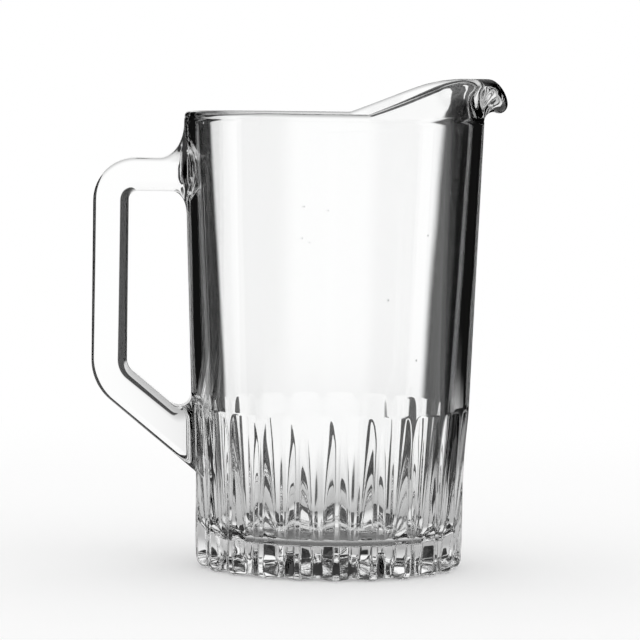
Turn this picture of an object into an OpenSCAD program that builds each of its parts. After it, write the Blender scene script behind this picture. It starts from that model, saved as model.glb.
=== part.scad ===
// Pressed glass pitcher with a fluted foot, a pulled pouring spout and a closed loop handle.
// Origin: on the axis of the body at table level. +Z is up, the spout points to +X, the handle to -X.

/* [Body] */
// Outside diameter at the level part of the rim
rim_d = 129.4; // [122:0.2:140]
// Height of the level part of the rim above the table
rim_h = 195.8; // [180:0.2:230]
// Outside diameter of the straight side carried down to the table
foot_d = 114.6; // [108:0.2:122]
// Glass thickness at the rim
rim_wall = 4.5; // [3.8:0.1:5.2]
// Glass thickness beside the inside floor, measured at a land between flutes
foot_wall = 7; // [6:0.1:9]
// Thickness of the base on the axis, from the table to the inside floor
floor_h = 13.8; // [9:0.2:20]
// Radius between the inside wall and the inside floor
floor_round = 8; // [4:0.5:12]
// Radius of the heel between the side and the underside
heel_round = 4; // [2:0.2:6]
// Distance from the rim down to the seam of the neck ring
seam_drop = 3; // [2.9:0.1:6]
// Step of the glass at the seam of the neck ring
seam_step = 0.2; // [0.05:0.05:0.4]

/* [Underside] */
// Diameter of the domed hollow inside the standing ring
hollow_d = 92; // [80:1:92]
// Depth of that hollow on the axis
hollow_h = 8; // [2:0.2:9]

/* [Flutes] */
// Number of flutes round the foot
flute_n = 22; // [16:2:24]
// Height of the upper ends of the flutes
flute_top = 69; // [55:1:90]
// Depth of a flute where it meets the heel
flute_depth = 3.4; // [1.6:0.1:3.6]
// Depth of a flute at the two corners of its flat upper end
flute_ledge = 0.06; // [0.03:0.01:0.3]
// Width of the plain wall left between two flutes at their upper ends
land_top = 4.8; // [3:0.1:6]
// Width of the land on the ribs, a little under the upper ends of the flutes
land_mid = 1.6; // [1:0.1:3]
// Width of the land on the ribs at the foot
land_foot = 2.5; // [1:0.1:3]
// Angle between the flank of a rib and the wall at the upper end of a flute
flank_top_angle = 8; // [6:1:20]
// Angle between the flank of a rib and the wall at the foot
flank_foot_angle = 36; // [30:1:50]
// How far the lands draw in under the straight side, between the upper ends and the foot
waist = 0.9; // [0:0.1:1.2]
// Lift of the underside between two of the little feet
notch_h = 1.3; // [0.6:0.1:2]
// How far the notch between two feet runs in from the side of the body
notch_run = 11; // [7:0.5:12]

/* [Spout] */
// Height of the shoulders of the spout over the level rim
spout_rise = 15.5; // [8:0.1:22]
// How far the lip stands out past the rim diameter
spout_reach = 10.3; // [5:0.1:15]
// How far the pouring lip lies below the shoulders
lip_dip = 7.4; // [2:0.1:9]
// Thickness of the rolled lip
lip_t = 7.4; // [5:0.1:8]
// How far the rim is drawn in beside the spout
spout_pinch = 4; // [0:0.5:7]
// Angle round the rim, from the lip, at which the rim starts to rise
spout_half_angle = 80; // [60:1:90]

/* [Handle] */
// Distance from the axis of the body to the outer face of the grip
handle_reach = 103.1; // [94:0.1:118]
// Width of the handle across the grip
handle_w = 21; // [16:0.5:26]
// Thickness of the upright grip
grip_t = 15.2; // [12:0.2:18]
// Thickness of the upper leg
upper_t = 14.3; // [11:0.2:18]
// Thickness of the sloping lower leg
lower_t = 15.6; // [12:0.2:18]
// Distance from the rim down to the middle of the upper leg
upper_drop = 27.3; // [27:0.1:40]
// Height at which the middle lines of the grip and the lower leg would cross
elbow_h = 82.4; // [76:0.2:100]
// Downward slope of the lower leg
lower_angle = 39.5; // [30:0.5:45]
// Middle-line radius of the upper corner
upper_bend = 11; // [9:0.5:16]
// Middle-line radius of the lower corner
lower_bend = 15; // [10:0.5:20]
// Radius of the long edges on the outer side of the handle
outer_round = 2; // [1:0.1:5]
// Radius of the long edges on the side of the finger gap
gap_round = 4.2; // [1.5:0.1:5]
// Height of the blend above the upper leg, where it runs up the wall
over_rise = 16; // [6:0.5:17]
// Length of that blend along the leg
over_run = 11; // [5:0.5:14]
// Height of the blend under the upper leg, where it runs down the wall
under_rise = 9; // [4:0.5:12]
// Length of that blend along the leg
under_run = 6; // [3:0.5:10]
// Radius of the blend in the lower end of the finger gap
crotch_blend = 6; // [3:0.5:10]
// How much wider the handle is where it meets the body, on each side
root_flare = 1.5; // [0:0.5:5]
// Length along the handle over which it widens to that
flare_run = 3.5; // [2:0.5:8]

/* [Hidden] */
$fn = 96;

// Overrun of every cut past the face it opens
cut_over = 1;
// How far the handle's legs run on inside the line of the wall before they are trimmed to it
root_sink = 5;
// Clearance over the land of the line up to which a flute's cutter follows the flank of the rib
land_clear = 0.12;
// Overlap of the neck ring on the inside wall, so that the facets of the ring cover the round edge
seam_lap = 0.06;

rim_r = rim_d / 2;
foot_r = foot_d / 2;
seam_h = rim_h - seam_drop;
taper = atan((rim_r - foot_r) / rim_h);

function outer_r(z) = foot_r + (rim_r - foot_r) * z / rim_h;
function wall_at(z) = foot_wall + (rim_wall - foot_wall) * (z - floor_h) / (rim_h - floor_h);
function inner_r(z) = outer_r(z) - wall_at(z);
function clamped(s) = min(1, max(0, s));
function eased(s) = pow(clamped(s), 2) * (3 - 2 * clamped(s));
function arc_points(cx, cz, r, a0, a1, n) =
    [for (i = [0 : n]) [cx + r * cos(a0 + (a1 - a0) * i / n), cz + r * sin(a0 + (a1 - a0) * i / n)]];

// Faces of a closed skin over `rings` sections of `m` points, with its two ends capped. The first half
// of each section mirrors the second half, and so do the diagonals of its faces.
function skin_faces(rings, m) = concat(
    [[for (j = [0 : m - 1]) j]],
    [for (i = [0 : rings - 2], j = [0 : m - 1])
        j < m / 2
        ? [i * m + j, (i + 1) * m + j, i * m + (j + 1) % m]
        : [i * m + j, (i + 1) * m + (j + 1) % m, i * m + (j + 1) % m]],
    [for (i = [0 : rings - 2], j = [0 : m - 1])
        j < m / 2
        ? [i * m + (j + 1) % m, (i + 1) * m + j, (i + 1) * m + (j + 1) % m]
        : [i * m + j, (i + 1) * m + j, (i + 1) * m + (j + 1) % m]],
    [[for (j = [m - 1 : -1 : 0]) (rings - 1) * m + j]]);

// Faces of a skin that closes on itself round the axis.
function ring_faces(rings, m) = concat(
    [for (i = [0 : rings - 1], j = [0 : m - 1])
        [i * m + j, i * m + (j + 1) % m, ((i + 1) % rings) * m + (j + 1) % m]],
    [for (i = [0 : rings - 1], j = [0 : m - 1])
        [i * m + j, ((i + 1) % rings) * m + (j + 1) % m, ((i + 1) % rings) * m + j]]);

// Flutes. A flute is a facet with a flat upper end, which leans in towards the foot. The ribs between
// the flutes grow out of it: their lands narrow quickly, and their flanks widen and steepen downwards.
flute_pitch = 360 / flute_n;
flute_bow_share = 0.9;
flute_step_shares = [0, 0.16, 0.5, 1.12];
waist_step_shares = [0.72, 0.45, 0.22];
land_turn_share = flute_step_shares[1];
side_shares = [-1, 1];

function flute_z(s) = flute_top - s * (flute_top - heel_round);
function flute_d(s) = flute_ledge + (flute_depth - flute_ledge) * s * (1 + flute_bow_share * (1 - s));
function waist_at(s) = waist * pow(sin(180 * clamped(s)), 2);
function land_at(s) = s < land_turn_share
    ? land_top + (land_mid - land_top) * s / land_turn_share
    : land_mid + (land_foot - land_mid) * (s - land_turn_share) / (1 - land_turn_share);
function flank_at(s) = flank_top_angle + (flank_foot_angle - flank_top_angle) * min(s, 1);
function to_angle(width, r) = width / r * 180 / PI;
function flute_section(s) =
    let (
        z = flute_z(s),
        r = outer_r(z),
        d = flute_d(s),
        land_d = waist_at(s),
        run_share = 1 / tan(flank_at(s)),
        edge = flute_pitch / 2 - to_angle(land_at(s) / 2, r),
        floor_half = edge - to_angle((d - land_d) * run_share, r),
        wall_half = edge + to_angle(land_clear * run_share, r),
        side = [[floor_half, r - d], [wall_half, r - land_d + land_clear], [wall_half, r + cut_over]])
    [for (k = side_shares, i = [0 : 2])
        let (p = side[k < 0 ? 2 - i : i])
        [p[1] * cos(p[0]), p[1] * sin(p[0]) * k, z]];

module flute_cut() {
    sections = [for (s = flute_step_shares) flute_section(s)];
    polyhedron(
        points = [for (section = sections) each section],
        faces = skin_faces(len(sections), len(sections[0])),
        convexity = 4);
}

// Notch on the underside between two feet. It is deepest at the heel and runs out on the standing ring.
module notch_cut() {
    out_r = foot_r + cut_over;
    tip_r = foot_r - notch_run;
    run_share = 1 / tan(flank_foot_angle);
    half_floor = outer_r(0) * tan(flute_pitch / 2) - land_foot / 2 - flute_depth * run_share;
    half_open = half_floor + (notch_h + cut_over) * run_share;
    polyhedron(
        points = [
            [tip_r, 0, -cut_over],
            [out_r, -half_open, -cut_over],
            [out_r, half_open, -cut_over],
            [out_r, half_floor, notch_h],
            [out_r, -half_floor, notch_h]],
        faces = [[0, 1, 2], [0, 2, 3], [0, 3, 4], [0, 4, 1], [1, 4, 3, 2]]);
}

// The outside of the body up to the seam, without the inside.
dome_step_shares = [0, 0.25, 0.5, 0.75, 1];
module outer_form() {
    heel_x = outer_r(heel_round) - heel_round / cos(taper);
    plain_h = flute_top + cut_over;
    difference() {
        rotate_extrude()
            polygon(concat(
                [for (k = dome_step_shares) [hollow_d / 2 * k, hollow_h * (1 - k * k)]],
                arc_points(heel_x, heel_round, heel_round, -90, -taper, 4),
                [for (s = waist_step_shares) [outer_r(flute_z(s)) - waist_at(s), flute_z(s)]],
                [[outer_r(plain_h), plain_h], [outer_r(seam_h), seam_h], [0, seam_h]]));
        for (i = [0 : flute_n - 1])
            rotate([0, 0, i * flute_pitch]) {
                flute_cut();
                notch_cut();
            }
    }
}

// The space that holds the drink, up through the seam.
module inside_form() {
    round_x = inner_r(floor_h + floor_round) - floor_round / cos(taper);
    rotate_extrude()
        polygon(concat(
            [[0, floor_h]],
            arc_points(round_x, floor_h + floor_round, floor_round, -90, -taper, 7),
            [[inner_r(seam_h), seam_h], [inner_r(seam_h), seam_h + cut_over], [0, seam_h + cut_over]]));
}

// Neck ring: the rim with the spout. Each section is a curved strip with a round top, set by its angle.
lip_curl = 105;
curl_angle = 52;
thick_angle = 46;
reach_angle = 45;
crest_angle = 21;
dip_angle = 17;
bezier_share = 0.42;
side_step_shares = [0, 0.34, 0.67, 1];
cap_steps = 5;
front_step = 4;
rear_step = 6;

ring_wall = outer_r(seam_h) - seam_step - inner_r(seam_h) + seam_lap;
ring_mid = inner_r(seam_h) - seam_lap + ring_wall / 2;
function lip_thick(a) = ring_wall + (lip_t - ring_wall) * (1 - eased(a / thick_angle));
function rim_top(a) = rim_h
    + spout_rise * sin(90 * clamped((spout_half_angle - a) / (spout_half_angle - crest_angle)))
    - lip_dip * (1 - eased(a / dip_angle));
function rim_shift(a) = spout_reach * pow(cos(90 * clamped(a / reach_angle)), 2)
    - spout_pinch * pow(sin(180 * clamped(a / spout_half_angle)), 2);
function bezier(p, q, r, s, t) =
    pow(1 - t, 3) * p + 3 * t * pow(1 - t, 2) * q + 3 * t * t * (1 - t) * r + pow(t, 3) * s;
function bezier_dir(p, q, r, s, t) =
    let (v = pow(1 - t, 2) * (q - p) + 2 * t * (1 - t) * (r - q) + t * t * (s - r)) v / norm(v);
function strip_section(a) =
    let (
        w1 = lip_thick(a),
        curl = lip_curl * (1 - eased(a / curl_angle)),
        p0 = [ring_mid, seam_h],
        p3 = [ring_mid + rim_shift(a) - (w1 - ring_wall) / 2, rim_top(a) - w1 / 2],
        reach = norm(p3 - p0) * bezier_share,
        p1 = p0 + [0, reach],
        p2 = p3 - [sin(curl), cos(curl)] * reach,
        mid = [for (t = side_step_shares) bezier(p0, p1, p2, p3, t)],
        dir = [for (t = side_step_shares) bezier_dir(p0, p1, p2, p3, t)],
        last = len(mid) - 1,
        half = [for (t = side_step_shares) (ring_wall + (w1 - ring_wall) * t) / 2])
    concat(
        [for (k = [0 : last]) mid[k] + half[k] * [dir[k][1], -dir[k][0]]],
        [for (c = [1 : cap_steps - 1])
            let (g = 180 * c / cap_steps)
            mid[last] + half[last] * (cos(g) * [dir[last][1], -dir[last][0]] + sin(g) * dir[last])],
        [for (k = [last : -1 : 0]) mid[k] - half[k] * [dir[k][1], -dir[k][0]]]);

module neck_ring() {
    front = [for (a = [-spout_half_angle : front_step : spout_half_angle]) a];
    rear = [for (a = [spout_half_angle + rear_step : rear_step : 360 - spout_half_angle - rear_step / 2]) a];
    angles = concat(front, rear);
    sections = [for (a = angles) strip_section(min(abs(a), 360 - abs(a)))];
    polyhedron(
        points = [for (i = [0 : len(angles) - 1], p = sections[i])
            [p[0] * cos(angles[i]), p[0] * sin(angles[i]), p[1]]],
        faces = ring_faces(len(angles), len(sections[0])),
        convexity = 8);
}

module vessel() {
    color([0.86, 0.9, 0.9, 0.55])
        union() {
            difference() {
                outer_form();
                inside_form();
            }
            neck_ring();
        }
}

// Handle. Its middle line runs out along the upper leg, down the grip and back in along the lower leg.
// A station is [x, z, direction, half thickness outside, half thickness inside, half width].
grip_x = grip_t / 2 - handle_reach;
upper_h = rim_h - upper_drop;
elbow_turn = 90 - lower_angle;
lower_tangent = lower_bend * tan(elbow_turn / 2);
lower_run = (-grip_x - outer_r(elbow_h)) / cos(lower_angle);
bend_steps = 6;
root_step_shares = [1, 0.6, 0.34, 0.16, 0.05, 0, -0.1];
half_w = handle_w / 2;
root_r = outer_r(upper_h + upper_t / 2 + over_rise);
under_gap = root_r - outer_r(upper_h - upper_t / 2 - under_rise);
lower_lead = lower_t / 2 * sin(lower_angle);
round_steps = 3;

function blend_add(e, run, rise) = rise * (1 - sqrt(1 - pow(clamped(1 - e / run), 2)));
function flare_add(e) = root_flare * pow(clamped(1 - e / flare_run), 2);

function upper_root() = [for (k = [len(root_step_shares) - 1 : -1 : 0])
    let (e = over_run * root_step_shares[k])
    [-root_r - e, upper_h, 180,
        upper_t / 2 + blend_add(e, over_run, over_rise),
        upper_t / 2 + blend_add(e + under_gap, under_run, under_rise),
        half_w + flare_add(e)]];

function upper_corner() = [for (k = [0 : bend_steps])
    let (turn = 90 * k / bend_steps, t = (upper_t + (grip_t - upper_t) * k / bend_steps) / 2)
    [grip_x + upper_bend - upper_bend * sin(turn), upper_h - upper_bend + upper_bend * cos(turn),
        180 + turn, t, t, half_w]];

function lower_corner() = [for (k = [0 : bend_steps])
    let (turn = elbow_turn * k / bend_steps, t = (grip_t + (lower_t - grip_t) * k / bend_steps) / 2)
    [grip_x + lower_bend - lower_bend * cos(turn), elbow_h + lower_tangent - lower_bend * sin(turn),
        270 + turn, t, t, half_w]];

function lower_place(e) =
    let (run = lower_run - e / cos(lower_angle))
    [grip_x + run * cos(lower_angle), elbow_h - run * sin(lower_angle)];

function lower_root() = [for (share = root_step_shares)
    let (gap = crotch_blend * share, place = lower_place(gap + lower_lead))
    [place[0], place[1], 360 - lower_angle,
        lower_t / 2,
        lower_t / 2 + blend_add(gap, crotch_blend, crotch_blend),
        half_w + flare_add(gap)]];

function run_on(station, away) =
    let (d = station[2])
    [station[0] + away * cos(d), station[1] + away * sin(d), d, station[3], station[4], station[5]];

// Section of the handle: a box with rounded edges, from the middle of its outer face round to it again.
function station_section(s) =
    let (mid = (s[3] - s[4]) / 2, half = (s[3] + s[4]) / 2, nx = sin(s[2]), nz = -cos(s[2]))
    [for (q = [0 : 3], i = [0 : round_steps])
        let (
            g = 90 * (q + i / round_steps),
            outside = q == 0 || q == 3,
            r = outside ? outer_round : gap_round,
            u = mid + (outside ? half - r : r - half) + r * cos(g),
            v = (q < 2 ? 1 : -1) * (s[5] - r) + r * sin(g))
        [s[0] + u * nx, v, s[1] + u * nz]];

module handle_bar() {
    upper = upper_root();
    lower = lower_root();
    stations = concat(
        [run_on(upper[0], -root_sink)], upper, upper_corner(),
        lower_corner(), lower, [run_on(lower[len(lower) - 1], lower_lead + 2 * root_sink)]);
    polyhedron(
        points = [for (s = stations) each station_section(s)],
        faces = skin_faces(len(stations), 4 * (round_steps + 1)),
        convexity = 6);
}

module handle() {
    color([0.8, 0.86, 0.87, 0.7])
        difference() {
            handle_bar();
            outer_form();
        }
}

vessel();
handle();
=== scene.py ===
import math
from collections import namedtuple

import bpy
import numpy as np
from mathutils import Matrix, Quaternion, Vector


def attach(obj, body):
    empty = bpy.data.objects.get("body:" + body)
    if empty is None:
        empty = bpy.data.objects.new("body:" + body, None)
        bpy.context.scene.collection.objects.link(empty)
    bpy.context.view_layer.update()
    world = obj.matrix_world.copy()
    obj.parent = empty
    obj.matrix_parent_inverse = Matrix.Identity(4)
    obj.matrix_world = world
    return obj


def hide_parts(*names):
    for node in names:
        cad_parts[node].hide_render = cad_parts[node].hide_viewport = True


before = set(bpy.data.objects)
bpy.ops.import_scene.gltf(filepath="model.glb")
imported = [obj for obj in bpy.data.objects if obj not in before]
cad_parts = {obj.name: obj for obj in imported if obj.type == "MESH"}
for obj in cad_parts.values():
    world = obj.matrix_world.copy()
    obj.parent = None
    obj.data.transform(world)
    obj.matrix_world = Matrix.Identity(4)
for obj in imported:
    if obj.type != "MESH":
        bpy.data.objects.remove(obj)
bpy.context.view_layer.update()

MM = 0.001

# The camera, in metres: its distance from the axis, its height, and the point it looks at.
IMAGE_PX, FOCAL_PX, SENSOR_MM = 640.0, 3832.0, 36.0
CAMERA_DIST, CAMERA_H = 1.65, 0.2110
CAMERA_TURN, CAMERA_ROLL = math.radians(-3.4), math.radians(0.82)
CAMERA_AIM = Vector((-0.0049, 0.0, 0.10646))
CLIP_NEAR, CLIP_FAR = 0.05, 50.0

# The body, in mm: a round wall that tapers to the foot, with the neck ring's seam under the rim.
RIM_R, RIM_H, FOOT_R = 64.7, 195.8, 57.3
RIM_WALL, FOOT_WALL = 4.5, 7.0
FLOOR_H, FLOOR_ROUND = 13.8, 8.0
SEAM_DROP, SEAM_STEP, SEAM_EDGE_IN, SEAM_EDGE_DOWN = 3.0, 0.2, 0.02, 0.25

# The foot, in mm: its heel, which is sharper in the flutes, the notches where the flutes run out, and
# the hollow inside the standing ring.
HEEL_ROUND, VALLEY_ROUND = 4.0, 1.2
NOTCH_H, NOTCH_RUN = 1.3, 11.0
HOLLOW_R, HOLLOW_H, RING_R = 47.5, 8.5, 51.8

# The flutes, in mm. A facet starts with a small step and leans in. A rib has a land and two flanks,
# and its land draws in at the waist.
FLUTE_N, FLUTE_TOP, FLUTE_DEPTH = 22, 69.6, 3.4
FACET_STEP, STEP_RUN, FACET_BOW = 0.32, 1.2, 0.9
RIB_TOP, RIB_RUN, RIB_POWER = 2.4, 12.4, 1.5
LAND_MID, LAND_FOOT = 0.7, 1.3
ROOT_MID, ROOT_FOOT = 3.4, 6.6
WAIST, WAIST_END, WAIST_POWER = 0.9, 6.0, 0.8
FACET_BLEND, LAND_BLEND, LAND_SKIN, FLANK_MIN = 0.3, 0.16, 0.04, 0.3

# The spout, in mm, and the degrees from its middle at which each of its forms has died out.
RISE, REACH, DIP, PINCH = 15.44, 10.29, 7.4, 4.0
LIP_T, LIP_CURL, LIP_PULL = 7.4, 105.0, 0.42
SPOUT_HALF, CREST_ANGLE = 80.0, 21.0
THICK_ANGLE, CURL_ANGLE, DIP_ANGLE, REACH_ANGLE = 46.0, 30.0, 17.0, 45.0

# The handle, in mm: the bar, its two legs and bends, and the forms at its roots.
HANDLE_REACH, HANDLE_W = 103.1, 21.0
GRIP_T, UPPER_T, LOWER_T = 15.2, 14.3, 15.6
UPPER_H, ELBOW_H, LOWER_A = 168.5, 82.4, math.radians(39.5)
UPPER_BEND, LOWER_BEND = 11.0, 15.0
ROUND_OUT, ROUND_IN, SIDE_CROWN, SIDE_SKIN = 2.0, 4.2, 0.12, 0.01
OVER_RISE, OVER_RUN, UNDER_RISE, UNDER_RUN = 16.0, 11.0, 9.0, 6.0
CROTCH_R, ROOT_FLARE, FLARE_RUN, ROOT_NARROW = 5.0, 4.0, 5.8, 0.8
ROOT_DEPTH, ROOT_LENGTH = 8.0, 12.0

# The core that cuts the handle off inside the wall of the vessel, in mm.
CORE_LOW, CORE_HIGH = 30.0, 190.0
CORE_IN_LOW, CORE_IN_HIGH, CORE_SIDES = 4.6, 2.3, 96

# How closely the surfaces are divided. Columns stand closer together at the edges of the flutes.
HALF_COLUMNS, COLUMN_POWER = 16, 1.5
DOME_ROWS, RING_ROWS, ARC_STEPS, LIP_STEPS = 12, 5, 10, 9
FACET_LOW, FACET_HIGH, FACET_GAP = 6.0, 66.0, 2.0
EDGE_HIGH, EDGE_GAP = 71.4, 0.4
PLAIN_LOW, PLAIN_ROWS, INSIDE_LOW, INSIDE_ROWS = 73.0, 10, 26.0, 12
FLOOR_OUT, FLOOR_IN, FLOOR_ROWS = 38.0, 4.0, 5
CORNER_STEPS, SIDE_STEPS = 9, 12
GRIP_STEPS, UPPER_STEPS, ELBOW_STEPS = 12, 16, 12
BOW_STEPS, ROOT_STEPS, UPPER_LEAD, LOWER_LEAD = 6, 15, 4, 6

SEAM_H = RIM_H - SEAM_DROP
TAPER = math.atan((RIM_R - FOOT_R) / RIM_H)
PITCH = 2 * math.pi / FLUTE_N
GRIP_X = GRIP_T / 2 - HANDLE_REACH
ELBOW_RUN = LOWER_BEND * math.tan((math.pi / 2 - LOWER_A) / 2)

# The glass: the scale and the depth of each pattern in it, in patterns per metre and in metres, and
# the edges of the stippled face, in mm over the hollow and inside its rim.
GLASS_COLOUR, GLASS_IOR = (0.995, 0.997, 0.996, 1), 1.52
BODY_WAVE, BAR_WAVE, WAVE_DETAIL = (20.0, 0.14 * MM), (30.0, 0.06 * MM), 1.5
PEEL_SCALE, PEEL_DEPTH, PEEL_DETAIL = 260.0, 0.0015 * MM, 1.0
PEEL_RANGE, PEEL_ROUGH = (0.3, 0.8), 0.012
SEED_SCALE, SEED_SIZE, SEED_DEPTH = 70.0, 0.03, 0.12 * MM
SEED_SHARE, SEED_SOFT = 0.3, 0.01
STIPPLE_SCALE, STIPPLE_DEPTH, STIPPLE_DETAIL = 700.0, 0.05 * MM, 2.0
STIPPLE_OVER, STIPPLE_IN = (0.7, 1.3), (4.5, 1.5)
NOISE_ROUGH = 0.4

# The studio, in radians and metres. Four white windows stand round the object with dark flags between
# them, and the side about OPEN_TURN is white all over. Each window's light is painted over the floor to
# the object in a glowing arm, and short painted arms lie between them. So a level view has white
# behind the glass and dark at its two edges.
WINDOWS = 4
WINDOW_TURN, WINDOW_HALF, WINDOW_SOFT = math.radians(1.6), math.radians(7.5), math.radians(1.6)
OPEN_TURN, OPEN_EDGE = math.radians(-60), (0.2, 0.5)
BAND_FADE = (math.radians(32), math.radians(46))
TOP_FADE, TOP_LEVEL = (math.radians(14), math.radians(48)), 0.85
FLAG_LEVEL = 0.006
ARM_HALF, SHORT_ARM = 0.047, 0.35

# The floor as the glass shows it, a glow with light and shade painted on. It has painted grey shade beside
# the object that fades to white far off, narrow painted bright spokes beside the foot and a painted shadow
# under it.
NEAR_SHADE_LEVEL, NEAR_END, NEAR_FADE, NEAR_POWER = 0.42, 0.05, 0.42, 1.5
SPOKE_HALF, SPOKE_FADE = 0.006, (0.11, 0.15)
SPOKE_LEVEL, LEVEL_FADE = 0.92, (0.07, 0.125)
UNDER_SHADOW_LEVEL, UNDER_SHADOW_FADE = 0.12, (0.045, 0.062)

# The floor as the camera sees it: pale, with the object's shadow, and plain white far off.
FLOOR_R, FLOOR_SIDES, FLOOR_SINK = 14.0, 192, 0.00002
FLOOR_COLOUR, FLOOR_GLOW, SHADOW_R = (0.8, 0.8, 0.8, 1), 0.2, 0.35


def make_camera():
    data = bpy.data.cameras.new("camera")
    cam = bpy.data.objects.new("camera", data)
    bpy.context.scene.collection.objects.link(cam)
    data.sensor_width = SENSOR_MM
    data.lens = FOCAL_PX / IMAGE_PX * SENSOR_MM
    data.clip_start = CLIP_NEAR
    data.clip_end = CLIP_FAR
    side, back = math.sin(CAMERA_TURN) * CAMERA_DIST, math.cos(CAMERA_TURN) * CAMERA_DIST
    cam.location = Vector((side, -back, CAMERA_H))
    cam.rotation_mode = "QUATERNION"
    look = (CAMERA_AIM - cam.location).to_track_quat("-Z", "Y")
    cam.rotation_quaternion = look @ Quaternion((0, 0, 1), CAMERA_ROLL)
    bpy.context.scene.camera = cam


def outer_r(z):
    """Radius of the plain outside at a height."""
    return FOOT_R + (RIM_R - FOOT_R) * z / RIM_H


def inner_r(z):
    """Radius of the inside at a height, where the wall gets thicker towards the foot."""
    return outer_r(z) - (FOOT_WALL + (RIM_WALL - FOOT_WALL) * (z - FLOOR_H) / (RIM_H - FLOOR_H))


def eased(s):
    """A smooth step from 0 to 1."""
    s = min(1.0, max(0.0, s))
    return s * s * (3 - 2 * s)


def soft_min(a, b, k):
    """The smaller of two values, with a smooth change from one to the other where they are near."""
    h = np.clip(0.5 + 0.5 * (b - a) / k, 0.0, 1.0)
    return b * (1 - h) + a * h - k * h * (1 - h)


def soft_max(a, b, k):
    """The larger of two values, in the same way."""
    return -soft_min(-a, -b, k)


def facet_depth(z):
    """Depth of the middle of a flute under the straight side: a small step, then a plane that leans in."""
    t = FLUTE_TOP - z
    k = np.clip((t + STEP_RUN / 2) / STEP_RUN, 0, 1)
    lean = (FLUTE_DEPTH - FACET_STEP) / (FLUTE_TOP - HEEL_ROUND)
    bow = 1 + FACET_BOW * (1 - t / FLUTE_TOP)
    return FACET_STEP * k * k * (3 - 2 * k) + lean * np.maximum(t, 0) * bow


def rib_halves(z):
    """Half widths of the rib between two flutes, at its land and at its root."""
    k = np.clip((FLUTE_TOP - z) / FLUTE_TOP, 0, 1)
    quick = np.clip(1 - (FLUTE_TOP - z) / RIB_RUN, 0, 1) ** RIB_POWER
    land = LAND_MID + (LAND_FOOT - LAND_MID) * k + (RIB_TOP - LAND_MID) * quick
    root = ROOT_MID + (ROOT_FOOT - ROOT_MID) * k - (ROOT_MID - RIB_TOP) * quick
    return land, root


def waist(z):
    """How far the lands draw in under the straight side, between the flutes' tops and the foot."""
    k = np.clip((FLUTE_TOP - z) / (FLUTE_TOP - WAIST_END), 0, 1)
    return WAIST * np.sin(math.pi * np.power(k, WAIST_POWER)) ** 2


def flute_depth(z, theta):
    """Depth of the vessel's outside under the straight side in mm, for heights and angles."""
    r = outer_r(z)
    half = PITCH * r / 2
    u = np.abs(theta / PITCH - np.round(theta / PITCH)) * PITCH * r
    land, root = rib_halves(z)
    facet = facet_depth(z) - u**2 / (2 * r)
    root_depth = facet_depth(z) - (half - root) ** 2 / (2 * r)
    drop = np.minimum(waist(z), np.maximum(root_depth, 0))
    flank = drop + (half - u - land) * np.maximum(root_depth - drop, 0) / np.maximum(root - land, FLANK_MIN)
    cut = soft_max(soft_min(flank, facet, FACET_BLEND), drop, LAND_BLEND) - LAND_SKIN
    return np.where(facet_depth(z) > 0, np.maximum(cut, 0), 0)


def lip_curve(a):
    """Section of the neck ring at an angle in degrees from the lip: outside, round edge, inside. Its
    middle line is a Bezier curve, and it gets thicker from the seam to the edge."""
    ring_wall = outer_r(SEAM_H) - SEAM_STEP - inner_r(SEAM_H)
    ring_mid = inner_r(SEAM_H) + ring_wall / 2
    edge_t = ring_wall + (LIP_T - ring_wall) * (1 - eased(a / THICK_ANGLE))
    curl = math.radians(LIP_CURL * (1 - eased(a / CURL_ANGLE)))
    climb = min(1.0, max(0.0, (SPOUT_HALF - a) / (SPOUT_HALF - CREST_ANGLE)))
    top = RIM_H + RISE * math.sin(math.pi / 2 * climb) - DIP * (1 - eased(a / DIP_ANGLE))
    pull = REACH * math.cos(math.pi / 2 * min(1, a / REACH_ANGLE)) ** 2
    shift = pull - PINCH * math.sin(math.pi * min(1, a / SPOUT_HALF)) ** 2
    p0 = np.array([ring_mid, SEAM_H])
    p3 = np.array([ring_mid + shift - (edge_t - ring_wall) / 2, top - edge_t / 2])
    reach = np.linalg.norm(p3 - p0) * LIP_PULL
    p1 = p0 + np.array([0, reach])
    p2 = p3 - np.array([math.sin(curl), math.cos(curl)]) * reach
    out, inn = [], []
    for i in range(LIP_STEPS + 1):
        t = i / LIP_STEPS
        mid = (1 - t) ** 3 * p0 + 3 * t * (1 - t) ** 2 * p1 + 3 * t * t * (1 - t) * p2 + t**3 * p3
        along = (1 - t) ** 2 * (p1 - p0) + 2 * t * (1 - t) * (p2 - p1) + t * t * (p3 - p2)
        along = along / np.linalg.norm(along)
        across = np.array([along[1], -along[0]])
        half = (ring_wall + (edge_t - ring_wall) * t) / 2
        out.append(mid + half * across)
        inn.insert(0, mid - half * across)
    turns = [math.pi * c / (LIP_STEPS + 2) for c in range(1, LIP_STEPS + 2)]
    cap = [mid + half * (math.cos(g) * across + math.sin(g) * along) for g in turns]
    return np.array(out + cap + inn)


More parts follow.
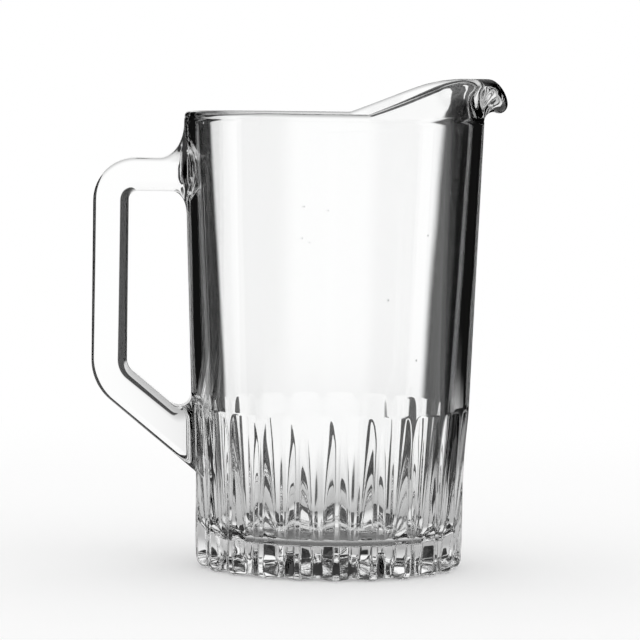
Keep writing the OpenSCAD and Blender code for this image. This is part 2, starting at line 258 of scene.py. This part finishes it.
def profile_rows():
    """Rows of the vessel from the middle of the underside, up the outside and down the inside. Each has
    its kind, its radius and its height. At the heel the radius is an angle, and at the lip a number."""
    dome = np.linspace(0, 1, DOME_ROWS + 2)[1:-1]
    rows = [("plain", HOLLOW_R * k, HOLLOW_H * (1 - eased(k))) for k in dome]
    rows += [("under", r, 0.0) for r in np.linspace(HOLLOW_R, RING_R, RING_ROWS)]
    arc = [(math.pi / 2 - TAPER) * i / ARC_STEPS for i in range(ARC_STEPS + 1)]
    rows += [("heel", turn - math.pi / 2, 0.0) for turn in arc]
    facets = np.arange(FACET_LOW, FACET_HIGH, FACET_GAP)
    edges = np.arange(FACET_HIGH, EDGE_HIGH, EDGE_GAP)
    straight = np.linspace(PLAIN_LOW, SEAM_H - SEAM_DROP / 2, PLAIN_ROWS)
    rows += [("wall", outer_r(z), z) for z in [*facets, *edges, *straight]]
    rows.append(("wall", outer_r(SEAM_H) - SEAM_EDGE_IN, SEAM_H - SEAM_EDGE_DOWN))
    rows += [("lip", i, 0.0) for i in range(3 * (LIP_STEPS + 1))]
    rows += [("plain", inner_r(z), z) for z in np.linspace(SEAM_H - SEAM_DROP, INSIDE_LOW, INSIDE_ROWS)]
    round_h = FLOOR_H + FLOOR_ROUND
    round_r = inner_r(round_h) - FLOOR_ROUND / math.cos(TAPER)
    for turn in arc:
        rows.append(("plain", round_r + FLOOR_ROUND * math.cos(-TAPER - turn),
                     round_h + FLOOR_ROUND * math.sin(-TAPER - turn)))
    rows += [("plain", r, FLOOR_H) for r in np.linspace(FLOOR_OUT, FLOOR_IN, FLOOR_ROWS)]
    return rows


def columns():
    """Angles round the vessel, closer together at the edges of the flutes."""
    shares = [0.5 * (1 - (1 - i / HALF_COLUMNS) ** COLUMN_POWER) for i in range(HALF_COLUMNS)]
    one = sorted(set([-s for s in shares] + shares + [0.5]))
    return np.array([PITCH * (i + s) for i in range(FLUTE_N) for s in one])


def vessel_mesh():
    """The vessel as one closed surface: its rows at every column, and a point at each end."""
    theta = columns()
    n = len(theta)
    from_lip = np.abs(np.degrees((theta + math.pi) % (2 * math.pi) - math.pi))
    lips = [lip_curve(a) for a in from_lip]
    full = flute_depth(np.full(n, HEEL_ROUND), theta)
    share = np.clip(full / FLUTE_DEPTH, 0, 1)
    rows = profile_rows()
    verts = []
    for kind, r, z in rows:
        rr, zz = np.full(n, float(r)), np.full(n, float(z))
        if kind == "lip":
            rr, zz = np.array([curve[r] for curve in lips]).T
        elif kind == "wall":
            rr = rr - flute_depth(zz, theta)
        elif kind == "under":
            zz = share * NOTCH_H * min(1, max(0, (r - (FOOT_R - NOTCH_RUN)) / NOTCH_RUN))
        elif kind == "heel":
            rho = HEEL_ROUND + (VALLEY_ROUND - HEEL_ROUND) * share
            foot = outer_r(HEEL_ROUND) - full - rho
            lift = share * NOTCH_H * np.clip((foot - (FOOT_R - NOTCH_RUN)) / NOTCH_RUN, 0, 1)
            rr, zz = foot + rho * math.cos(r), lift + rho * (1 + math.sin(r))
        verts.append(np.column_stack([rr * np.cos(theta), rr * np.sin(theta), zz]))
    pts = np.vstack(verts + [[[0, 0, HOLLOW_H], [0, 0, FLOOR_H]]]) * MM
    lowest, top, last = len(pts) - 2, len(pts) - 1, (len(rows) - 1) * n
    faces = []
    for a in range(0, last, n):
        faces += [(a + j, a + (j + 1) % n, a + n + (j + 1) % n, a + n + j) for j in range(n)]
    for j in range(n):
        faces += [(lowest, (j + 1) % n, j), (top, last + j, last + (j + 1) % n)]
    return pts, faces


# A section of the handle: a place on the axis of the bar, the direction it runs in, the lean of the
# section along it, the half thickness outside and inside, the half width, the half thickness of the
# plain bar, and the share by which the blends get narrower.
Section = namedtuple("Section", "x z turn lean outside inside half_w plain narrow")


def plain_section(x, z, turn, half_t, lean=0.0):
    return Section(x, z, turn, lean, half_t, half_t, HANDLE_W / 2, half_t, 0.0)


def blend_add(e, run, rise):
    """Height of a concave elliptical blend at a distance from the wall."""
    share = min(1, max(0, 1 - e / run))
    return rise * (1 - math.sqrt(max(0, 1 - share**2)))


def crotch_add(e, angle):
    """Height, along the wall, of the round fillet between the wall and a leg that slopes into it."""
    near = max(0, e)
    if near >= CROTCH_R * (1 + math.sin(angle)):
        return 0
    centre = CROTCH_R / math.tan((math.pi / 2 - angle) / 2)
    return centre - math.sqrt(max(0, CROTCH_R**2 - (CROTCH_R - near) ** 2)) - near * math.tan(angle)


def root_bow():
    """How far the wall curves back beside the middle of a handle's root."""
    return (HANDLE_W / 2 + ROOT_FLARE) ** 2 / 2 / outer_r(UPPER_H)


def root_steps():
    """Distances from the wall at which the roots have sections, from within the wall outwards, and
    closest together where the blends get steep."""
    within = [root_bow() * ((i / BOW_STEPS) ** 2 - 1) for i in range(BOW_STEPS)]
    outside = [ROOT_LENGTH * (i / ROOT_STEPS) ** 2 for i in range(ROOT_STEPS + 1)]
    return [-ROOT_DEPTH, -ROOT_DEPTH / 2] + within + outside


def root_half_w(e):
    """Half width of the handle at a distance from the wall."""
    return HANDLE_W / 2 + blend_add(e + root_bow(), FLARE_RUN, ROOT_FLARE)


def upper_leg():
    """Sections from within the wall to the upper bend. At the root they lean, parallel to the wall."""
    half_t, lean = UPPER_T / 2, math.tan(TAPER)
    out = []
    for e in root_steps():
        over, under = blend_add(e, OVER_RUN, OVER_RISE), blend_add(e, UNDER_RUN, UNDER_RISE)
        out.append(Section(-outer_r(UPPER_H) - e / math.cos(TAPER), UPPER_H, math.pi, lean,
                           half_t + over, half_t + under, root_half_w(e), half_t, ROOT_NARROW))
    x0, x1 = out[-1].x, GRIP_X + UPPER_BEND
    for share in [i / UPPER_LEAD for i in range(1, UPPER_LEAD)]:
        out.append(plain_section(x0 + (x1 - x0) * share, UPPER_H, math.pi, half_t, lean * (1 - share)))
    return out


def bend(centre_z, radius, start, sweep, half_t0, half_t1, steps):
    """Sections round a bend at the grip, between two directions and two thicknesses."""
    out = []
    for i in range(steps + 1):
        turn = start + sweep * i / steps
        x, z = GRIP_X + radius + radius * math.sin(turn), centre_z - radius * math.cos(turn)
        out.append(plain_section(x, z, turn, half_t0 + (half_t1 - half_t0) * i / steps))
    return out


def lower_place(run):
    """Place on the axis of the lower leg, at a distance from where it meets the line of the grip."""
    return GRIP_X + run * math.cos(LOWER_A), ELBOW_H - run * math.sin(LOWER_A)


def lower_leg():
    """Sections from the lower bend into the wall. They lean more and more until they are parallel to it."""
    half_t, slope = LOWER_T / 2, LOWER_A + TAPER
    lean = math.tan(slope)
    scale = math.cos(LOWER_A) - math.sin(LOWER_A) * math.tan(TAPER)
    to_wall = -GRIP_X - outer_r(ELBOW_H)
    steps = [((to_wall - e / math.cos(TAPER)) / scale, e) for e in reversed(root_steps())]
    out = []
    for share in [i / LOWER_LEAD for i in range(1, LOWER_LEAD)]:
        run = ELBOW_RUN + (steps[0][0] - ELBOW_RUN) * share
        out.append(plain_section(*lower_place(run), -LOWER_A, half_t, lean * share))
    for run, e in steps:
        rise = crotch_add(e, slope) * math.cos(slope)
        out.append(Section(*lower_place(run), -LOWER_A, lean,
                           half_t, half_t + rise, root_half_w(e), half_t, 0.0))
    return out


def handle_sections():
    """All sections of the handle, from the upper root round the grip to the lower root."""
    high, low = UPPER_H - UPPER_BEND, ELBOW_H + ELBOW_RUN
    back, quarter = math.pi, math.pi / 2
    down = back + quarter
    shoulder = bend(high, UPPER_BEND, back, quarter, UPPER_T / 2, GRIP_T / 2, UPPER_STEPS)
    grip = [plain_section(GRIP_X, high + (low - high) * i / GRIP_STEPS, down, GRIP_T / 2)
            for i in range(1, GRIP_STEPS)]
    elbow = bend(low, LOWER_BEND, down, quarter - LOWER_A, GRIP_T / 2, LOWER_T / 2, ELBOW_STEPS)
    return upper_leg() + shoulder + grip + elbow + lower_leg()


def between(a, b):
    """Points along the straight side from one corner of a section to the next."""
    return [(a[0] + (b[0] - a[0]) * k / SIDE_STEPS, a[1] + (b[1] - a[1]) * k / SIDE_STEPS)
            for k in range(1, SIDE_STEPS)]


def section_points(s):
    """Outline of a section: a rounded box with a slight crown, drawn in at its blends."""
    mid, half = (s.outside - s.inside) / 2, (s.outside + s.inside) / 2
    pts = []
    corners = ((1, 1, ROUND_OUT), (-1, 1, ROUND_IN), (-1, -1, ROUND_IN), (1, -1, ROUND_OUT))
    for quarter, (side_u, side_v, rho) in enumerate(corners):
        turns = [math.pi / 2 * (quarter + i / CORNER_STEPS) for i in range(CORNER_STEPS + 1)]
        u, v = mid + side_u * (half - rho), side_v * (s.half_w - rho)
        arc = [(u + rho * math.cos(g), v + rho * math.sin(g)) for g in turns]
        pts += (between(pts[-1], arc[0]) if pts else []) + arc
    pts += between(pts[-1], pts[0])
    out = []
    for u, v in pts:
        if abs(v) > s.half_w - SIDE_SKIN:
            v += math.copysign(SIDE_CROWN * max(0, 1 - (u / s.plain) ** 2), v)
        over = max(0, u - (s.plain - ROUND_OUT)) / OVER_RISE * min(1, (s.outside - s.plain) / ROUND_OUT)
        under = max(0, -u - (s.plain - ROUND_IN)) / UNDER_RISE * min(1, (s.inside - s.plain) / ROUND_IN)
        out.append((u, v * (1 - s.narrow * (min(1, over) + min(1, under)))))
    return out


def handle_mesh():
    """The handle as one closed surface, with its ends inside the wall of the vessel."""
    pts, faces = [], []
    sections = handle_sections()
    for s in sections:
        nx = math.sin(s.turn) + s.lean * math.cos(s.turn)
        nz = s.lean * math.sin(s.turn) - math.cos(s.turn)
        outline = section_points(s)
        m = len(outline)
        pts += [(s.x + u * nx, v, s.z + u * nz) for u, v in outline]
    last = (len(sections) - 1) * m
    for a in range(0, last, m):
        faces += [(a + j, a + m + j, a + m + (j + 1) % m, a + (j + 1) % m) for j in range(m)]
    faces.append(tuple(range(m)))
    faces.append(tuple(last + j for j in range(m - 1, -1, -1)))
    return np.array(pts) * MM, faces


def core_mesh():
    """A solid inside the wall of the vessel, which trims the ends of the handle."""
    pts, faces = [], []
    turns = [2 * math.pi * j / CORE_SIDES for j in range(CORE_SIDES)]
    for z, inset in ((CORE_LOW, CORE_IN_LOW), (CORE_HIGH, CORE_IN_HIGH)):
        r = outer_r(z) - inset
        pts += [(r * math.cos(a), r * math.sin(a), z) for a in turns]
    for j in range(CORE_SIDES):
        k = (j + 1) % CORE_SIDES
        faces.append((j, k, CORE_SIDES + k, CORE_SIDES + j))
    faces.append(tuple(range(CORE_SIDES - 1, -1, -1)))
    faces.append(tuple(range(CORE_SIDES, 2 * CORE_SIDES)))
    return np.array(pts) * MM, faces


def new_object(name, pts, faces, mats):
    mesh = bpy.data.meshes.new(name)
    mesh.from_pydata([tuple(p) for p in pts], [], faces)
    mesh.validate()
    mesh.update()
    for mat in mats:
        mesh.materials.append(mat)
    obj = bpy.data.objects.new(name, mesh)
    bpy.context.scene.collection.objects.link(obj)
    return obj


def boolean(obj, other, operation):
    """Cuts or joins another object, and removes it."""
    mod = obj.modifiers.new("cut", "BOOLEAN")
    mod.object = other
    mod.operation = operation
    mod.solver = "EXACT"
    deps = bpy.context.evaluated_depsgraph_get()
    made = bpy.data.meshes.new_from_object(obj.evaluated_get(deps))
    obj.modifiers.clear()
    old = obj.data
    obj.data = made
    bpy.data.meshes.remove(old)
    bpy.data.objects.remove(other)


def faces_of(mesh, index):
    """The points and the faces of a mesh that have one of its materials."""
    verts, faces, used = [], [], {}
    for p in mesh.polygons:
        if p.material_index != index:
            continue
        for v in p.vertices:
            if v not in used:
                used[v] = len(verts)
                verts.append(mesh.vertices[v].co[:])
        faces.append([used[v] for v in p.vertices])
    return verts, faces


class Nodes:
    """Short ways to make the nodes of one tree."""

    def __init__(self, tree):
        self.tree = tree

    def add(self, kind, **values):
        n = self.tree.nodes.new(kind)
        for key, value in values.items():
            setattr(n, key, value)
        return n

    def link(self, a, b):
        self.tree.links.new(a, b)

    def put(self, n, values):
        """Sets or links the inputs of a node, by their names or numbers."""
        for key, value in values.items():
            if isinstance(value, (int, float)):
                n.inputs[key].default_value = value
            else:
                self.link(value, n.inputs[key])

    def math(self, op, *args):
        n = self.add("ShaderNodeMath", operation=op)
        self.put(n, dict(enumerate(args)))
        return n.outputs[0]

    def ramp(self, value, lo, hi, a, b, kind="SMOOTHSTEP"):
        n = self.add("ShaderNodeMapRange", interpolation_type=kind)
        self.put(n, {"From Min": lo, "From Max": hi, "To Min": a, "To Max": b, "Value": value})
        return n.outputs["Result"]

    def mix(self, factor, a, b):
        n = self.add("ShaderNodeMix", data_type="FLOAT")
        self.put(n, {"Factor": factor, "A": a, "B": b})
        return n.outputs["Result"]

    def split(self, vector):
        n = self.add("ShaderNodeSeparateXYZ")
        self.link(vector, n.inputs[0])
        return n.outputs["X"], n.outputs["Y"], n.outputs["Z"]

    def length(self, x, y):
        return self.math("SQRT", self.math("ADD", self.math("MULTIPLY", x, x), self.math("MULTIPLY", y, y)))

    def noise(self, coords, scale, detail):
        n = self.add("ShaderNodeTexNoise")
        self.put(n, {"Scale": scale, "Detail": detail, "Roughness": NOISE_ROUGH, "Vector": coords})
        return n.outputs["Fac"]

    def bump(self, height, depth, normal=None):
        """A bump of a depth in metres, on top of another one."""
        n = self.add("ShaderNodeBump")
        self.put(n, {"Strength": 1.0, "Distance": depth, "Height": height})
        if normal:
            self.link(normal, n.inputs["Normal"])
        return n.outputs["Normal"]

    def window_angle(self, x, y, count):
        """Angle from the middle of the nearest of some windows, for a direction over the floor."""
        step = 2 * math.pi / count
        turns = self.math("DIVIDE", self.math("ADD", self.math("ARCTAN2", y, x), WINDOW_TURN), step)
        off = self.math("SUBTRACT", turns, self.math("ROUND", turns))
        return self.math("MULTIPLY", self.math("ABSOLUTE", off), step)

    def open_side(self, x, y):
        """1 over the side of the studio that is white all over, and 0 over the rest."""
        off = self.math("SUBTRACT", self.math("ARCTAN2", y, x), OPEN_TURN)
        return self.ramp(self.math("COSINE", off), *OPEN_EDGE, 0.0, 1.0)


def glass_material(name, wave, stippled):
    """Pressed, fire polished glass: slow waves of the mould, a faint orange peel, a few tiny seeds and,
    in the hollow of the foot, a stippled face."""
    mat = bpy.data.materials.new(name)
    mat.use_nodes = True
    t = Nodes(mat.node_tree)
    shader = mat.node_tree.nodes["Principled BSDF"]
    shader.inputs["Base Color"].default_value = GLASS_COLOUR
    shader.inputs["Transmission Weight"].default_value = 1.0
    shader.inputs["IOR"].default_value = GLASS_IOR
    coords = t.add("ShaderNodeTexCoord").outputs["Object"]
    wave_scale, wave_depth = wave
    peel = t.noise(coords, PEEL_SCALE, PEEL_DETAIL)
    normal = t.bump(t.noise(coords, wave_scale, WAVE_DETAIL), wave_depth)
    normal = t.bump(peel, PEEL_DEPTH, normal)
    cells = t.add("ShaderNodeTexVoronoi")
    t.put(cells, {"Scale": SEED_SCALE, "Vector": coords})
    chance = t.add("ShaderNodeSeparateColor")
    t.link(cells.outputs["Color"], chance.inputs[0])
    spot = t.ramp(cells.outputs["Distance"], SEED_SIZE / 2, SEED_SIZE * 1.5, 1.0, 0.0)
    few = t.ramp(chance.outputs[0], SEED_SHARE - SEED_SOFT, SEED_SHARE + SEED_SOFT, 1.0, 0.0)
    normal = t.bump(t.math("MULTIPLY", spot, few), SEED_DEPTH, normal)
    if stippled:
        x, y, z = t.split(coords)
        low = t.ramp(z, *[(HOLLOW_H + over) * MM for over in STIPPLE_OVER], 1.0, 0.0)
        within = t.ramp(t.length(x, y), *[(HOLLOW_R - inside) * MM for inside in STIPPLE_IN], 1.0, 0.0)
        grains = t.noise(coords, STIPPLE_SCALE, STIPPLE_DETAIL)
        grains = t.math("MULTIPLY", t.math("MULTIPLY", low, within), grains)
        normal = t.bump(grains, STIPPLE_DEPTH, normal)
    t.link(normal, shader.inputs["Normal"])
    t.link(t.ramp(peel, *PEEL_RANGE, 0.0, PEEL_ROUGH, "LINEAR"), shader.inputs["Roughness"])
    return mat


def floor_seen(t, x, y, dist):
    """Painted light and shade of the floor as the glass shows it, at a place and its distance from the
    object's axis.
    """
    # Painted light: arms of light from the windows, narrowing to spokes beside the foot.
    half = t.mix(t.ramp(dist, *SPOKE_FADE, 1.0, 0.0), ARM_HALF, SPOKE_HALF)
    edge = t.math("ADD", half, t.math("MULTIPLY", dist, math.tan(WINDOW_HALF)))
    soft = t.math("MULTIPLY", dist, math.tan(WINDOW_HALF + WINDOW_SOFT) - math.tan(WINDOW_HALF))
    arms = []
    for count in (WINDOWS, 2 * WINDOWS):
        side = t.math("MULTIPLY", dist, t.math("SINE", t.window_angle(x, y, count)))
        arms.append(t.ramp(t.math("SUBTRACT", side, edge), 0.0, soft, 1.0, 0.0))
    short = t.math("MULTIPLY", arms[1], t.ramp(dist, SHORT_ARM, 2 * SHORT_ARM, 1.0, 0.0))
    arm = t.math("MAXIMUM", t.math("MAXIMUM", arms[0], short), t.open_side(x, y))
    # Painted shade: grey beside the object, fading to white far off, and bright spokes nearer the foot.
    away = t.math("DIVIDE", t.math("MAXIMUM", t.math("SUBTRACT", dist, NEAR_END), 0.0), NEAR_FADE)
    fade = t.math("EXPONENT", t.math("MULTIPLY", t.math("POWER", away, NEAR_POWER), -1.0))
    lit = t.ramp(dist, *LEVEL_FADE, SPOKE_LEVEL, t.mix(fade, 1.0, NEAR_SHADE_LEVEL))
    # Painted shadow: dark under the foot.
    lit = t.ramp(dist, *UNDER_SHADOW_FADE, UNDER_SHADOW_LEVEL, lit)
    return t.math("ADD", FLAG_LEVEL, t.math("MULTIPLY", arm, t.math("SUBTRACT", lit, FLAG_LEVEL)))


def floor_material():
    """Pale and shaded for the camera, and for reflected and refracted rays a glow with the studio's arms of
    light and the shade by the object painted on.
    """
    mat = bpy.data.materials.new("floor")
    mat.use_nodes = True
    mat.node_tree.nodes.clear()
    t = Nodes(mat.node_tree)
    out = t.add("ShaderNodeOutputMaterial")
    path = t.add("ShaderNodeLightPath")
    x, y, _ = t.split(t.add("ShaderNodeTexCoord").outputs["Object"])
    dist = t.length(x, y)
    glow = t.add("ShaderNodeEmission")
    glow.inputs["Strength"].default_value = FLOOR_GLOW
    diffuse = t.add("ShaderNodeBsdfDiffuse")
    diffuse.inputs["Color"].default_value = FLOOR_COLOUR
    near = t.add("ShaderNodeAddShader")
    t.link(diffuse.outputs[0], near.inputs[0])
    t.link(glow.outputs[0], near.inputs[1])
    white = t.add("ShaderNodeEmission")
    studio = t.add("ShaderNodeEmission")
    t.link(floor_seen(t, x, y, dist), studio.inputs["Strength"])
    far = t.ramp(dist, SHADOW_R, 2 * SHADOW_R, 0.0, 1.0)
    through = t.math("MAXIMUM", path.outputs["Is Transmission Ray"], path.outputs["Is Glossy Ray"])
    plain, mix = t.add("ShaderNodeMixShader"), t.add("ShaderNodeMixShader")
    t.put(plain, {0: far, 1: near.outputs[0], 2: white.outputs[0]})
    t.put(mix, {0: through, 1: plain.outputs[0], 2: studio.outputs[0]})
    t.link(mix.outputs[0], out.inputs["Surface"])
    return mat


def make_world():
    """White for the camera and the floor. The studio's windows and flags for the glass."""
    world = bpy.data.worlds.new("studio")
    bpy.context.scene.world = world
    world.use_nodes = True
    world.node_tree.nodes.clear()
    t = Nodes(world.node_tree)
    out = t.add("ShaderNodeOutputWorld")
    path = t.add("ShaderNodeLightPath")
    x, y, z = t.split(t.add("ShaderNodeTexCoord").outputs["Generated"])
    climb = t.math("ARCSINE", z)
    window = t.ramp(t.window_angle(x, y, WINDOWS), WINDOW_HALF, WINDOW_HALF + WINDOW_SOFT, 1.0, 0.0)
    band = t.ramp(climb, *BAND_FADE, 1.0, 0.0)
    top = t.ramp(climb, *TOP_FADE, 0.0, TOP_LEVEL)
    lit = t.math("MULTIPLY", t.math("MAXIMUM", window, t.open_side(x, y)), band)
    bright = t.math("MINIMUM", t.math("ADD", lit, top), 1.0)
    studio = t.math("ADD", FLAG_LEVEL, t.math("MULTIPLY", bright, 1 - FLAG_LEVEL))
    plain = t.math("MAXIMUM", path.outputs["Is Camera Ray"], path.outputs["Is Diffuse Ray"])
    back = t.add("ShaderNodeBackground")
    back.inputs["Color"].default_value = (1, 1, 1, 1)
    t.link(t.mix(plain, studio, 1.0), back.inputs["Strength"])
    t.link(back.outputs[0], out.inputs["Surface"])


make_camera()

# The two bodies of glass are joined, so that they share their line of contact, and then taken apart
# again by their materials.
vessel_glass = glass_material("vessel_glass", BODY_WAVE, True)
handle_glass = glass_material("handle_glass", BAR_WAVE, False)
both = [vessel_glass, handle_glass]
joined = new_object("joined", *vessel_mesh(), both)
bar = new_object("bar", *handle_mesh(), both)
for face in bar.data.polygons:
    face.material_index = 1
boolean(bar, new_object("core", *core_mesh(), both), "DIFFERENCE")
boolean(joined, bar, "UNION")
vessel = new_object("vessel_glass_body", *faces_of(joined.data, 0), [vessel_glass])
handle = new_object("handle_glass_bar", *faces_of(joined.data, 1), [handle_glass])
bpy.data.objects.remove(joined)

for piece in (vessel, handle):
    piece.data.shade_smooth()
    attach(piece, "root")
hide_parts("vessel")
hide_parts("handle")

bpy.ops.mesh.primitive_circle_add(vertices=FLOOR_SIDES, radius=FLOOR_R, fill_type="NGON",
                                  location=(0, 0, -FLOOR_SINK))
floor = bpy.context.object
floor.name = "floor"
floor.data.materials.append(floor_material())

make_world()
bpy.context.scene.view_settings.view_transform = "Standard"
